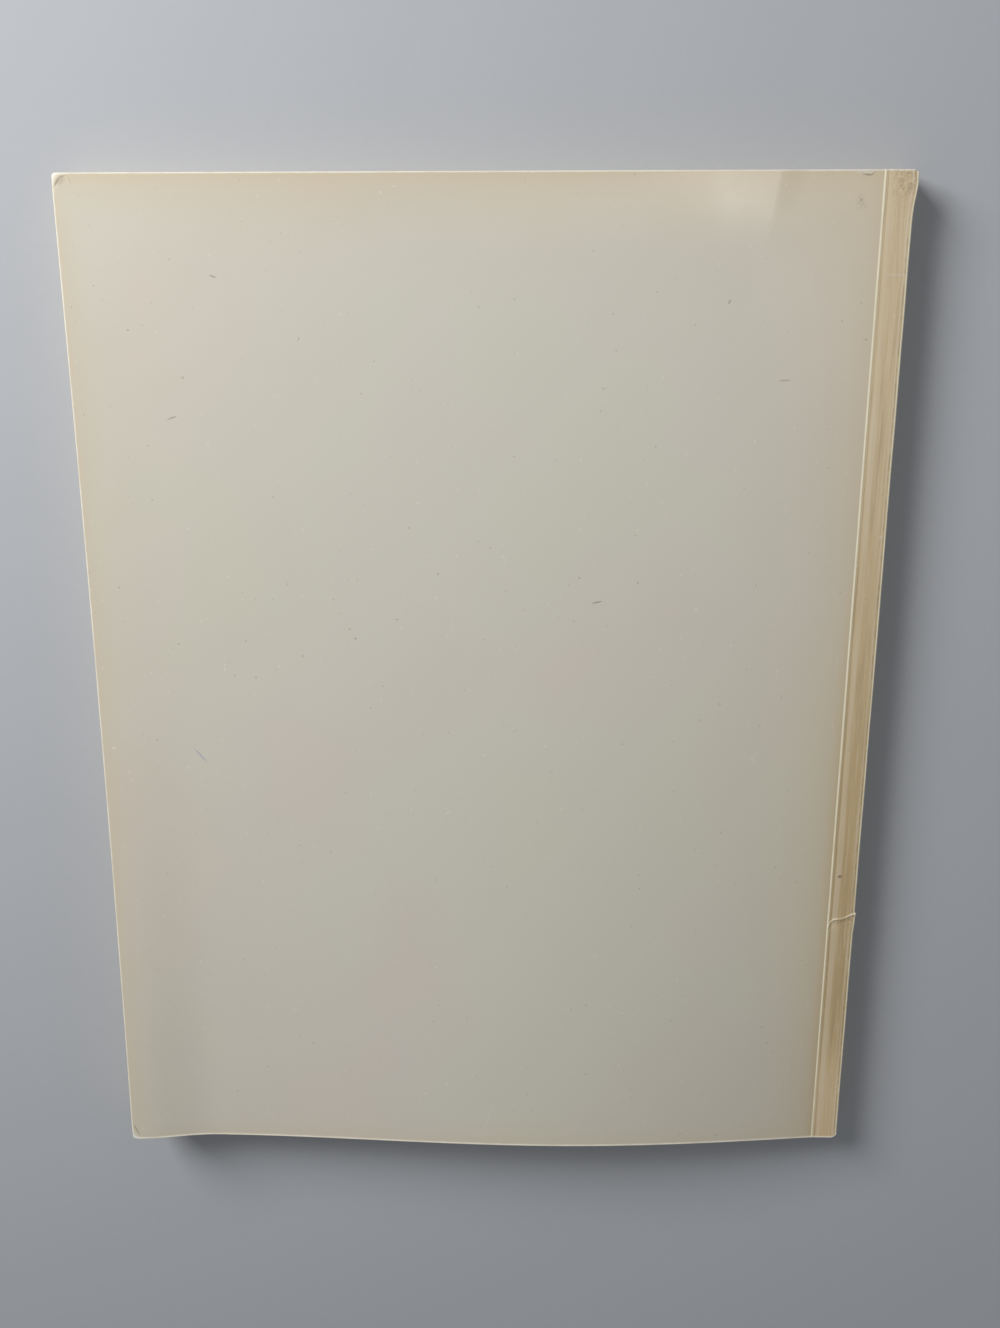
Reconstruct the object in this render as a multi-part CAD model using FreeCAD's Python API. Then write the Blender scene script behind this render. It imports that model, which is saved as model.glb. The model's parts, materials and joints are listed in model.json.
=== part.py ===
import FreeCAD, Part
import math
import os
from FreeCAD import Vector

# A large, thin, perfect-bound paperback that lies on its front cover.
# The origin is at the bottom centre: +X to the spine, +Y to the head, +Z out of the back cover.
# All sizes are in millimetres.

# The trimmed book: the covers and the leaves were cut flush after binding.
trim_width = 216.0
trim_height = 279.0
block_thickness = 9.0

# The cover card and the hot glue that holds it round the backs of the leaves.
card_thickness = 0.3
spine_glue_thickness = 0.5
side_glue_thickness = 0.2
side_glue_width = 6.8

# The cover's folds: rounded at the spine, and scored where each cover hinges.
spine_fold_radius = 0.8
hinge_width = 7.7
score_width = 0.6
score_height = 0.12
hinge_gap = 0.05

# Corners that handling has worn round.
cover_corner_radius = 1.5
leaf_corner_radius = 1.0

# The back cover and the leaves under it have curled up along the tail.
# Distances run from the hinge towards the fore edge, and lifts are those at the tail.
crest_distance = 86.0
crest_lift = 6.5
trough_distance = 182.0
trough_lift = 3.6
corner_lift = 6.6
curl_reach = 240.0
leaf_curl_share = 0.72

# The spacing of the points that carry a curled surface.
curl_point_spacing = 10.0

# Places that follow from the sizes above.
spine_x = trim_width / 2
fore_x = -trim_width / 2
head_y = trim_height / 2
tail_y = -trim_height / 2
crease_x = spine_x - hinge_width
panel_edge_x = crease_x - hinge_gap
block_bottom = card_thickness + side_glue_thickness
block_top = block_bottom + block_thickness
book_thickness = block_top + side_glue_thickness + card_thickness
block_back_x = spine_x - card_thickness - spine_glue_thickness
inner_fold_radius = spine_fold_radius - card_thickness
curled_thickness = book_thickness + 2 * max(crest_lift, corner_lift)
along_book = Vector(0, trim_height, 0)


def line(start, end):
    return Part.LineSegment(start, end).toShape()


def arc(start, middle, end):
    return Part.Arc(start, middle, end).toShape()


def profile_point(x, z):
    """A point of a cross section, which lies in the plane of the tail."""
    return Vector(x, tail_y, z)


def corner_arc(x, z, radius, x_side, z_side):
    """A quarter turn about (x, z) on the spine's side, drawn from below to above."""
    slant = radius * math.sqrt(0.5)
    side_on = profile_point(x + x_side * radius, z)
    end_on = profile_point(x, z + z_side * radius)
    middle = profile_point(x + x_side * slant, z + z_side * slant)
    if z_side < 0:
        return arc(end_on, middle, side_on)
    return arc(side_on, middle, end_on)


def tail_lift(distance):
    """The lift of the curled cover at the tail, at a distance from the hinge."""
    width = crease_x - fore_x
    if distance < crest_distance:
        return crest_lift * math.sin(math.pi / 2 * distance / crest_distance)
    if distance < trough_distance:
        fall = (distance - crest_distance) / (trough_distance - crest_distance)
        return trough_lift + (crest_lift - trough_lift) * (1 + math.cos(math.pi * fall)) / 2
    rise = (distance - trough_distance) / (width - trough_distance)
    return trough_lift + (corner_lift - trough_lift) * (1 - math.cos(math.pi * rise)) / 2


def curl_lift(x, y):
    """The lift of the curled cover over its flat place."""
    fade = max(0.0, 1 - (y - tail_y) / curl_reach)
    return tail_lift(crease_x - x) * fade ** 2


def spaced_past(start, end):
    """Evenly spaced places that run one step past a piece's two edges, which are trimmed later."""
    spans = max(4, round((end - start) / curl_point_spacing))
    return [start + (end - start) * index / spans for index in range(-1, spans + 2)]


def curled_face(height, share, hinge_side_x):
    """The curled surface that lies at a height where it is flat, with a share of the lift."""
    rows = []
    for x in spaced_past(fore_x, hinge_side_x):
        rows.append([Vector(x, y, height + share * curl_lift(x, y))
                     for y in spaced_past(tail_y, head_y)])
    surface = Part.BSplineSurface()
    surface.interpolate(rows)
    return Part.Face(surface)


def trimmed_sheet(hinge_side_x, corner_radius, height):
    """A flat sheet with square corners at the spine and worn ones at the fore edge."""
    slant = corner_radius * (1 - math.sqrt(0.5))
    tail_spine = Vector(hinge_side_x, tail_y, height)
    head_spine = Vector(hinge_side_x, head_y, height)
    head_start = Vector(fore_x + corner_radius, head_y, height)
    head_middle = Vector(fore_x + slant, head_y - slant, height)
    head_end = Vector(fore_x, head_y - corner_radius, height)
    tail_start = Vector(fore_x, tail_y + corner_radius, height)
    tail_middle = Vector(fore_x + slant, tail_y + slant, height)
    tail_end = Vector(fore_x + corner_radius, tail_y, height)
    edges = [
        line(tail_spine, head_spine),
        line(head_spine, head_start),
        arc(head_start, head_middle, head_end),
        line(head_end, tail_start),
        arc(tail_start, tail_middle, tail_end),
        line(tail_end, tail_spine),
    ]
    return Part.Face(Part.Wire(edges))


def front_cover():
    """The front cover, flat on the surface that the book lies on."""
    return trimmed_sheet(panel_edge_x, cover_corner_radius, 0).extrude(Vector(0, 0, card_thickness))


def back_cover():
    """The back cover, curled up along the tail."""
    card = curled_face(book_thickness, 1, panel_edge_x).extrude(Vector(0, 0, -card_thickness))
    trim = trimmed_sheet(panel_edge_x, cover_corner_radius, 0)
    return card.common(trim.extrude(Vector(0, 0, curled_thickness)))


def page_block():
    """All the leaves, pressed tight at the spine and fanned where they curl."""
    curled = curled_face(block_top, leaf_curl_share, crease_x)
    leaves = curled.extrude(Vector(0, 0, -curled_thickness))
    trim = trimmed_sheet(crease_x, leaf_corner_radius, block_bottom)
    trim = trim.extrude(Vector(0, 0, curled_thickness))
    bound_edge = Part.makeBox(block_back_x - crease_x, trim_height, block_thickness,
                              Vector(crease_x, tail_y, block_bottom))
    return leaves.common(trim).fuse(bound_edge).removeSplitter()


def spine_glue():
    """The hot glue on the backs of the leaves, with a thin lap on each side."""
    inner_z = card_thickness
    outer_x = spine_x - card_thickness
    fold_x = spine_x - spine_fold_radius
    lap_x = block_back_x - side_glue_width
    low_fold_z = spine_fold_radius
    high_fold_z = book_thickness - spine_fold_radius
    high_z = book_thickness - inner_z
    edges = [
        line(profile_point(lap_x, inner_z), profile_point(fold_x, inner_z)),
        corner_arc(fold_x, low_fold_z, inner_fold_radius, 1, -1),
        line(profile_point(outer_x, low_fold_z), profile_point(outer_x, high_fold_z)),
        corner_arc(fold_x, high_fold_z, inner_fold_radius, 1, 1),
        line(profile_point(fold_x, high_z), profile_point(lap_x, high_z)),
        line(profile_point(lap_x, high_z), profile_point(lap_x, block_top)),
        line(profile_point(lap_x, block_top), profile_point(block_back_x, block_top)),
        line(profile_point(block_back_x, block_top), profile_point(block_back_x, block_bottom)),
        line(profile_point(block_back_x, block_bottom), profile_point(lap_x, block_bottom)),
        line(profile_point(lap_x, block_bottom), profile_point(lap_x, inner_z)),
    ]
    return Part.Face(Part.Wire(edges)).extrude(along_book)


def cover_spine():
    """The cover card round the spine, out to the score line on each side."""
    score_end_x = crease_x + score_width
    score_middle_x = crease_x + score_width / 2
    outer_fold_x = spine_x - spine_fold_radius
    inner_x = spine_x - card_thickness
    low_fold_z = spine_fold_radius
    high_fold_z = book_thickness - spine_fold_radius
    inner_high_z = book_thickness - card_thickness
    front_score = arc(profile_point(crease_x, 0),
                      profile_point(score_middle_x, score_height),
                      profile_point(score_end_x, 0))
    back_score = arc(profile_point(score_end_x, book_thickness),
                     profile_point(score_middle_x, book_thickness + score_height),
                     profile_point(crease_x, book_thickness))
    edges = [
        front_score,
        line(profile_point(score_end_x, 0), profile_point(outer_fold_x, 0)),
        corner_arc(outer_fold_x, low_fold_z, spine_fold_radius, 1, -1),
        line(profile_point(spine_x, low_fold_z), profile_point(spine_x, high_fold_z)),
        corner_arc(outer_fold_x, high_fold_z, spine_fold_radius, 1, 1),
        line(profile_point(outer_fold_x, book_thickness), profile_point(score_end_x, book_thickness)),
        back_score,
        line(profile_point(crease_x, book_thickness), profile_point(crease_x, inner_high_z)),
        line(profile_point(crease_x, inner_high_z), profile_point(outer_fold_x, inner_high_z)),
        corner_arc(outer_fold_x, high_fold_z, inner_fold_radius, 1, 1),
        line(profile_point(inner_x, high_fold_z), profile_point(inner_x, low_fold_z)),
        corner_arc(outer_fold_x, low_fold_z, inner_fold_radius, 1, -1),
        line(profile_point(outer_fold_x, card_thickness), profile_point(crease_x, card_thickness)),
        line(profile_point(crease_x, card_thickness), profile_point(crease_x, 0)),
    ]
    return Part.Face(Part.Wire(edges)).extrude(along_book)


os.makedirs("parts", exist_ok=True)

pieces = {
    "page_block": page_block(),
    "spine_glue": spine_glue(),
    "cover_spine": cover_spine(),
    "front_cover": front_cover(),
    "back_cover": back_cover(),
}

for name, shape in pieces.items():
    box = shape.optimalBoundingBox()
    print(name, shape.isValid(), len(shape.Solids), round(shape.Volume, 1),
          [round(value, 3) for value in (box.XMin, box.XMax, box.YMin, box.YMax, box.ZMin, box.ZMax)])
    shape.exportStep("parts/" + name + ".step")
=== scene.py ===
import json
import math
import random

import bmesh
import bpy
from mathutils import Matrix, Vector, noise


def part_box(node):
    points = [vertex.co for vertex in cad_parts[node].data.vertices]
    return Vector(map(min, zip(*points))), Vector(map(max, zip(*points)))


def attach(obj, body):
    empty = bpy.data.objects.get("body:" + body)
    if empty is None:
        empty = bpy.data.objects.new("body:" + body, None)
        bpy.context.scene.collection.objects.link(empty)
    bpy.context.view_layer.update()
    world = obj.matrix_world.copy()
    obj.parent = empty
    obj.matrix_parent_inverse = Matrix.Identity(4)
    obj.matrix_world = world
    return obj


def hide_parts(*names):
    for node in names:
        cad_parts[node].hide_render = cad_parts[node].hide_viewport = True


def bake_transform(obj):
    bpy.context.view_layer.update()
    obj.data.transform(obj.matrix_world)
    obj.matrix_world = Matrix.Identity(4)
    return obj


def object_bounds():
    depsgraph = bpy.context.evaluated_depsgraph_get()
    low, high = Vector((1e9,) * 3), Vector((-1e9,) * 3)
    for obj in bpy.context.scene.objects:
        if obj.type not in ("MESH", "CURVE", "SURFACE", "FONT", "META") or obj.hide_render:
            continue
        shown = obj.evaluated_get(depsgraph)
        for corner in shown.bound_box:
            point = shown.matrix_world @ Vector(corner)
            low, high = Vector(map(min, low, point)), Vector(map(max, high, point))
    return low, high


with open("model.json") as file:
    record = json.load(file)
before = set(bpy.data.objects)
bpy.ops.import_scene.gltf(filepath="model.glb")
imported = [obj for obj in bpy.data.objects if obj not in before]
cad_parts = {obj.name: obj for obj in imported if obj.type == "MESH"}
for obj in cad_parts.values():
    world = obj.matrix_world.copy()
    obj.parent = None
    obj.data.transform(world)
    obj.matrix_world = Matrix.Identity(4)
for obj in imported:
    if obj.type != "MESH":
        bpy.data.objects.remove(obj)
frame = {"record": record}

cad_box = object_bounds()


# The leaves: sixty sheets of uncoated paper, glued along their backs and trimmed flush with the cover
# on the other three sides. They are tight at the spine and fan out where the tail of the book curls.
leaf_count = 60
leaf_curl_share = 0.72
leaf_corner_radius = 0.0010
leaf_unevenness = 0.00006
bundle_unevenness = 0.00010
bundle_start_chance = 0.30
leaf_sag = 0.00017
leaf_swell = 0.00004
leaf_sag_reach = 0.014
leaf_tight_reach = 0.002
leaf_bevel_reach = 0.6 * leaf_corner_radius
leaf_edge_low = 0.12
leaf_edge_high = 0.88
gap_depth_least = 0.00010
gap_depth_for_width = 9.0
leaf_face_tone = 0.9
# The tone at the bottom of each gap between leaves: 0 takes the full dark brown, as painted shade.
leaf_gap_shade = 0.0
leaf_edge_seed = 5
leaf_cream = (0.76, 0.715, 0.60)
leaf_toned = (0.64, 0.52, 0.34)
# A brown for stains, fox spots and darker bundles of leaves, and also for the painted shade in the gaps
# between leaves.
leaf_stain_and_gap_shade_brown = (0.17, 0.12, 0.07)

# The curl of the tail: the lifts there, by distance from the hinge towards the fore edge.
crest_distance = 0.0860
crest_lift = 0.0065
trough_distance = 0.1820
trough_lift = 0.0036
corner_lift = 0.0066
curl_reach = 0.2400

# The spine's fold, knocked in at the head and, further, at the tail.
head_knock_radius = 0.0015
head_knock_depth = 0.0016
tail_knock_radius = 0.0021
tail_knock_depth = 0.0026

book_low, book_high = cad_box
fore_x = book_low.x
spine_x = book_high.x
tail_y = book_low.y
head_y = book_high.y
hinges = {joint["name"]: joint for joint in frame["record"]["behaviour"]["joints"]}
hinge_x = hinges["back_cover_hinge"]["pos_m"][0]
card_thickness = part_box("front_cover")[1].z
block_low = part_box("page_block")[0].z
block_back_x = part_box("page_block")[1].x
side_gap = block_low - card_thickness
block_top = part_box("spine_glue")[1].z - side_gap
book_top = block_top + side_gap + card_thickness


def tail_lift(distance):
    """The lift of the curled cover at the tail, at a distance from its hinge."""
    width = hinge_x - fore_x
    if distance < 0:
        return 0.0
    if distance < crest_distance:
        return crest_lift * math.sin(math.pi / 2 * distance / crest_distance)
    if distance < trough_distance:
        fall = (distance - crest_distance) / (trough_distance - crest_distance)
        return trough_lift + (crest_lift - trough_lift) * (1 + math.cos(math.pi * fall)) / 2
    rise = min(1.0, (distance - trough_distance) / (width - trough_distance))
    return trough_lift + (corner_lift - trough_lift) * (1 - math.cos(math.pi * rise)) / 2


def curl_lift(x, y):
    """The lift of the curled cover over its flat place."""
    fade = max(0.0, 1 - (y - tail_y) / curl_reach)
    return tail_lift(hinge_x - x) * fade ** 2


def knock(x, z, from_end, radius, depth):
    """How far a point at a distance from one end of the spine is pushed in from that end."""
    across = max(0.0, x - (spine_x - radius)) / radius
    round_off = 1 - math.sqrt(1 - min(1.0, across) ** 2)
    return radius * round_off * math.exp(-(max(0.0, book_top - z) + from_end) / depth)


def knocked_in(x, y, z):
    """How far a point is pushed along the book where the back end of the spine's fold is knocked in."""
    at_tail = knock(x, z, y - tail_y, tail_knock_radius, tail_knock_depth)
    at_head = knock(x, z, head_y - y, head_knock_radius, head_knock_depth)
    return at_tail - at_head


def rounded(x, y, head_radius, tail_radius):
    """A place on a sheet, moved so that the two square corners at the fore edge become round."""
    side = math.copysign(1, y)
    radius = head_radius if y > 0 else tail_radius
    centre_x = fore_x + radius
    centre_y = side * (head_y - radius)
    out_x = centre_x - x
    out_y = side * (y - centre_y)
    if out_x <= 0 or out_y <= 0:
        return x, y
    shrink = max(out_x, out_y) / math.hypot(out_x, out_y)
    return centre_x - out_x * shrink, centre_y + side * out_y * shrink


def graded(start, end, first_step, last_step, widest_step, growth=0.12):
    """Places from start to end, close together at both ends and wider apart between them."""
    places = [start]
    while places[-1] < end:
        from_start = first_step + growth * (places[-1] - start)
        to_end = last_step + growth * max(0.0, end - places[-1])
        places.append(places[-1] + min(widest_step, from_start, to_end))
    stretch = (end - start) / (places[-1] - start)
    return [start + (place - start) * stretch for place in places]


def flat_sheet(bm, columns, rows):
    """Makes a flat sheet of faces whose vertices lie at the given places across and along the book."""
    bmesh.ops.create_grid(bm, x_segments=len(columns) - 1, y_segments=len(rows) - 1, size=1)
    for vertex in bm.verts:
        column = round((vertex.co.x + 1) / 2 * (len(columns) - 1))
        row = round((vertex.co.y + 1) / 2 * (len(rows) - 1))
        vertex.co = (columns[column], rows[row], 0)
    for face in bm.faces:
        face.smooth = True


def backed_sheet(bm, columns, rows):
    """Makes two flat sheets back to back, and gives the vertices of each and the upper one's rim."""
    flat_sheet(bm, columns, rows)
    upper = bm.verts[:]
    copied = bmesh.ops.duplicate(bm, geom=bm.verts[:] + bm.edges[:] + bm.faces[:])["geom"]
    lower = [part for part in copied if isinstance(part, bmesh.types.BMVert)]
    lower_faces = [part for part in copied if isinstance(part, bmesh.types.BMFace)]
    bmesh.ops.reverse_faces(bm, faces=lower_faces)
    for face in lower_faces:
        face.material_index = 1
    upper_set = set(upper)
    rim = [edge for edge in bm.edges if edge.is_boundary and edge.verts[0] in upper_set]
    return upper, lower, rim


def finished_piece(name, bm, materials):
    """A piece at the origin, made from its closed mesh and the materials that it wears."""
    bmesh.ops.remove_doubles(bm, verts=bm.verts[:], dist=1e-7)
    bmesh.ops.recalc_face_normals(bm, faces=bm.faces[:])
    mesh = bpy.data.meshes.new(name)
    bm.to_mesh(mesh)
    bm.free()
    piece = bpy.data.objects.new(name, mesh)
    bpy.context.scene.collection.objects.link(piece)
    for material in materials:
        mesh.materials.append(material)
    return piece


def new_finish(name, roughness, specular):
    """A material with its node tree and its shader."""
    material = bpy.data.materials.new(name)
    material.use_nodes = True
    tree = material.node_tree
    shader = tree.nodes["Principled BSDF"]
    shader.inputs["Roughness"].default_value = roughness
    shader.inputs["Specular IOR Level"].default_value = specular
    return material, tree, shader


def wire(tree, socket, value):
    """Links a node's output to a socket, or sets the socket to a plain value."""
    if isinstance(value, bpy.types.NodeSocket):
        tree.links.new(value, socket)
    elif isinstance(value, tuple):
        socket.default_value = (*value, 1.0)
    else:
        socket.default_value = value


def reckon(tree, operation, *values):
    """The result of a sum on numbers or sockets."""
    node = tree.nodes.new("ShaderNodeMath")
    node.operation = operation
    for socket, value in zip(node.inputs, values):
        wire(tree, socket, value)
    return node.outputs[0]


def eased(tree, value, low, high, at_low=0.0, at_high=1.0):
    """A smooth step from one number to another, as a value goes from low to high."""
    node = tree.nodes.new("ShaderNodeMapRange")
    node.interpolation_type = "SMOOTHSTEP"
    for socket, entry in zip(node.inputs, (value, low, high, at_low, at_high)):
        wire(tree, socket, entry)
    return node.outputs[0]


def blotches(tree, place, scale, stretch=(1, 1, 1), detail=3.0, roughness=0.55):
    """Cloudy variation with so many blotches a metre, closer together along the stretched directions."""
    mapping = tree.nodes.new("ShaderNodeMapping")
    mapping.inputs["Scale"].default_value = stretch
    tree.links.new(place, mapping.inputs["Vector"])
    cloud = tree.nodes.new("ShaderNodeTexNoise")
    cloud.inputs["Scale"].default_value = scale
    cloud.inputs["Detail"].default_value = detail
    cloud.inputs["Roughness"].default_value = roughness
    tree.links.new(mapping.outputs[0], cloud.inputs["Vector"])
    return cloud.outputs[0]


def tinted(tree, share, under, over):
    """One colour laid over another by a share from 0 to 1."""
    node = tree.nodes.new("ShaderNodeMix")
    node.data_type = "RGBA"
    for socket, entry in ((node.inputs[0], share), (node.inputs[6], under), (node.inputs[7], over)):
        wire(tree, socket, entry)
    return node.outputs[2]


def relieved(tree, shader, height, depth):
    """Gives a shader the fine relief of a height, at a depth in metres."""
    bump = tree.nodes.new("ShaderNodeBump")
    bump.inputs["Strength"].default_value = 1.0
    bump.inputs["Distance"].default_value = depth
    tree.links.new(height, bump.inputs["Height"])
    tree.links.new(bump.outputs[0], shader.inputs["Normal"])


def axes_of(tree, place):
    """The three coordinates of a place, as sockets."""
    parts = tree.nodes.new("ShaderNodeSeparateXYZ")
    tree.links.new(place, parts.inputs[0])
    return parts.outputs[0], parts.outputs[1], parts.outputs[2]


def toning(tree, distance, reach, wander, strength=1.0):
    """How much air has yellowed the paper, at a distance from the edge that let it in."""
    varied = reckon(tree, "MULTIPLY", reckon(tree, "ADD", wander, 0.5), reach)
    reaches = reckon(tree, "DIVIDE", reckon(tree, "MULTIPLY", distance, -1.0), varied)
    return reckon(tree, "MULTIPLY", reckon(tree, "EXPONENT", reaches), strength)


def greatest(tree, *shares):
    """The largest of several shares."""
    largest = shares[0]
    for share in shares[1:]:
        largest = reckon(tree, "MAXIMUM", largest, share)
    return largest


leaf_face, tree, shader = new_finish("leaf_face", 0.75, 0.25)
place = tree.nodes.new("ShaderNodeTexCoord").outputs["Object"]
across, along = axes_of(tree, place)[:2]
wander = blotches(tree, place, 30, detail=2)
toned = greatest(
    tree,
    toning(tree, reckon(tree, "SUBTRACT", across, fore_x), 0.012, wander, 0.8),
    toning(tree, reckon(tree, "SUBTRACT", head_y, along), 0.012, wander, 0.8),
    toning(tree, reckon(tree, "SUBTRACT", along, tail_y), 0.010, wander, 0.7),
    toning(tree, reckon(tree, "SUBTRACT", hinge_x, across), 0.006, wander, 0.7))
paper = tinted(tree, toned, leaf_cream, leaf_toned)
paper = tinted(tree, eased(tree, blotches(tree, place, 60), 0.4, 0.8, 0.0, 0.25), paper, leaf_toned)
fox_spots = eased(tree, blotches(tree, place, 240, detail=1), 0.76, 0.84, 0.0, 0.5)
paper = tinted(tree, fox_spots, paper, leaf_stain_and_gap_shade_brown)
tree.links.new(paper, shader.inputs["Base Color"])
relieved(tree, shader, blotches(tree, place, 900, detail=4), 0.00003)

leaf_edge, tree, shader = new_finish("leaf_edge", 0.85, 0.2)
place = tree.nodes.new("ShaderNodeTexCoord").outputs["Object"]
leaf_tone = tree.nodes.new("ShaderNodeAttribute")
leaf_tone.attribute_name = "leaf_tone"
# The leaf edges run from the brown, painted shade in the gaps and stain elsewhere, to cream.
edge_colour = tinted(tree, leaf_tone.outputs["Fac"], leaf_stain_and_gap_shade_brown, leaf_cream)
stains = blotches(tree, place, 30, stretch=(1, 1, 9))
edge_colour = tinted(tree, eased(tree, stains, 0.3, 0.8, 0.15, 0.6), edge_colour, leaf_toned)
tree.links.new(edge_colour, shader.inputs["Base Color"])
relieved(tree, shader, blotches(tree, place, 1500, stretch=(1, 1, 6), detail=3), 0.00004)

leaf_thickness = (block_top - block_low) / leaf_count
leaf_random = random.Random(leaf_edge_seed)


def leaf_height(x, y, level):
    """The height of the leaves at a level, from 0 under the lowest leaf to the leaf count."""
    share = level / leaf_count
    loose = min(1.0, max(0.0, (hinge_x - leaf_tight_reach - x) / leaf_sag_reach))
    slack = (leaf_swell * share - leaf_sag * (1 - share)) * loose * loose * (3 - 2 * loose)
    return block_low + level * leaf_thickness + slack + leaf_curl_share * share ** 2 * curl_lift(x, y)


def leaf_point(x, y, level, depth=0.0):
    """A point of the leaves' outline or face, set back into the paper by a depth."""
    x, y = rounded(x, y, leaf_corner_radius, leaf_corner_radius)
    z = leaf_height(x, y, level)
    y_at_edge = y + knocked_in(x, y, z)
    if x < fore_x + leaf_bevel_reach:
        x += depth
    if y > head_y - leaf_bevel_reach:
        y_at_edge -= depth
    if y < tail_y + leaf_bevel_reach:
        y_at_edge += depth
    return Vector((x, y_at_edge, z))


def next_ring(edges, places, level, depth_at, tone):
    """Extrudes the leaves' outline once more and sets the new loop's height, depth and tone."""
    made = bmesh.ops.extrude_edge_only(bm, edges=edges)["geom"]
    new_verts = [part for part in made if isinstance(part, bmesh.types.BMVert)]
    new_edges = [part for part in made if isinstance(part, bmesh.types.BMEdge)
                 and part.verts[0] not in places and part.verts[1] not in places]
    new_places = {}
    for vertex in new_verts:
        neighbours = [edge.other_vert(vertex) for edge in vertex.link_edges]
        source = next(neighbour for neighbour in neighbours if neighbour in places)
        x, y = places[source]
        new_places[vertex] = (x, y)
        vertex.co = leaf_point(x, y, level, depth_at(x, y))
        vertex[tone_layer] = tone
    return new_edges, new_places


bm = bmesh.new()
tone_layer = bm.verts.layers.float.new("leaf_tone")
leaf_columns = graded(fore_x, block_back_x, 0.0005, 0.0004, 0.006)
leaf_rows = graded(tail_y, head_y, 0.0005, 0.0005, 0.006)
upper, lower, ring = backed_sheet(bm, leaf_columns, leaf_rows)
ring_place = {vertex: tuple(vertex.co.xy) for edge in ring for vertex in edge.verts}
for vertex in upper:
    vertex.co = leaf_point(vertex.co.x, vertex.co.y, leaf_count)
    vertex[tone_layer] = leaf_face_tone
for vertex in lower:
    vertex.co = leaf_point(vertex.co.x, vertex.co.y, 0)
    vertex[tone_layer] = leaf_face_tone
bundle_tone = 0.0
bundle_setback = 0.0
for leaf in range(leaf_count - 1, -1, -1):
    if leaf_random.random() < bundle_start_chance:
        bundle_tone = leaf_random.uniform(-0.50, 0.10)
        bundle_setback = leaf_random.uniform(0.0, bundle_unevenness)
    edge_tone = bundle_tone + leaf_random.uniform(0.60, 0.95)
    setback = bundle_setback + leaf_random.uniform(0.0, leaf_unevenness)
    fan_below = leaf_curl_share * (((leaf + 1) / leaf_count) ** 2 - (leaf / leaf_count) ** 2)
    if leaf < leaf_count - 1:
        ring, ring_place = next_ring(
            ring, ring_place, leaf + leaf_edge_high, lambda x, y: setback, edge_tone)
    if leaf > 0:
        ring, ring_place = next_ring(
            ring, ring_place, leaf + leaf_edge_low, lambda x, y: setback, edge_tone)
        # The bottom of the gap below each leaf is set back and painted dark with the gap tone, as
        # painted shade.
        ring, ring_place = next_ring(
            ring, ring_place, leaf,
            lambda x, y: gap_depth_least + gap_depth_for_width * fan_below * curl_lift(x, y),
            leaf_gap_shade)
next_ring(ring, ring_place, 0, lambda x, y: 0.0, edge_tone)
for face in bm.faces:
    face.material_index = 0 if face.smooth else 1
leaves = finished_piece("leaves", bm, [leaf_face, leaf_edge])
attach(leaves, "text_block")
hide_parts("page_block")


# The binding glue: hot glue spread over the backs of the leaves, with a thin lap on each side that
# holds the hinge strips of the cover. It has yellowed to amber and is a little uneven at its edges.
glue_amber = (0.47, 0.30, 0.11)
glue_pale = (0.62, 0.47, 0.24)
glue_clearance = 0.000005
glue_edge_wander = 0.00035
glue_edge_reach = 0.002
glue_end_shrink = 0.00025
glue_end_reach = 0.0006
spine_fold_radius = 0.0004

fold_x = spine_x - spine_fold_radius
fold_length = spine_fold_radius * math.pi / 2
spine_face_length = book_top - 2 * spine_fold_radius


def along_cover(distance, side_length):
    """A point of the cover's outer face round the spine, as x and z, and the way out from it."""
    if distance < side_length:
        return fold_x - side_length + distance, book_top, 0.0, 1.0
    distance -= side_length
    if distance < fold_length:
        turn = distance / spine_fold_radius
        out_x = math.sin(turn)
        out_z = math.cos(turn)
        fold_z = book_top - spine_fold_radius * (1 - out_z)
        return fold_x + spine_fold_radius * out_x, fold_z, out_x, out_z
    distance -= fold_length
    if distance < spine_face_length:
        return spine_x, book_top - spine_fold_radius - distance, 1.0, 0.0
    distance -= spine_face_length
    if distance < fold_length:
        turn = distance / spine_fold_radius
        out_x = math.cos(turn)
        out_z = -math.sin(turn)
        return fold_x + spine_fold_radius * out_x, spine_fold_radius * (1 + out_z), out_x, out_z
    return fold_x - (distance - fold_length), 0.0, 0.0, -1.0


def walled(bm, rim, lower, wall_material):
    """Extrudes the rim of the upper sheet into a wall whose new vertices follow the lower sheet."""
    made = bmesh.ops.extrude_edge_only(bm, edges=rim)["geom"]
    for part in made:
        if isinstance(part, bmesh.types.BMFace):
            part.material_index = wall_material
            part.smooth = False
    return lower + [part for part in made if isinstance(part, bmesh.types.BMVert)]


binding_glue, tree, shader = new_finish("binding_glue", 0.35, 0.5)
place = tree.nodes.new("ShaderNodeTexCoord").outputs["Object"]
glue_clouds = eased(tree, blotches(tree, place, 90, stretch=(1, 0.4, 1)), 0.3, 0.75)
tree.links.new(tinted(tree, glue_clouds, glue_amber, glue_pale), shader.inputs["Base Color"])
relieved(tree, shader, blotches(tree, place, 260, stretch=(1, 0.3, 1)), 0.0002)

glue_side_length = fold_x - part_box("spine_glue")[0].x
glue_length = 2 * (glue_side_length + fold_length) + spine_face_length


def glue_point(distance, y, inside):
    """A point of the glue's outer face, or of its inner face against the leaves."""
    x, z, out_x, out_z = along_cover(distance, glue_side_length)
    to_edge = min(distance, glue_length - distance)
    edge_share = max(0.0, 1 - to_edge / glue_edge_reach)
    wander = glue_edge_wander * noise.noise(Vector((y * 160, distance, 4.7))) * edge_share
    end_share = math.exp(-(head_y - abs(y)) / glue_end_reach)
    shrink = glue_end_shrink * (0.5 + noise.noise(Vector((distance * 400, y, 1.3)))) * end_share
    y += knocked_in(x, y, z) - math.copysign(shrink, y)
    if inside:
        height = min(max(z, block_low), block_top)
        return Vector((min(x, block_back_x) + wander, y, height))
    inset = card_thickness + glue_clearance
    return Vector((x - out_x * inset + wander, y, z - out_z * inset))


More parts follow.
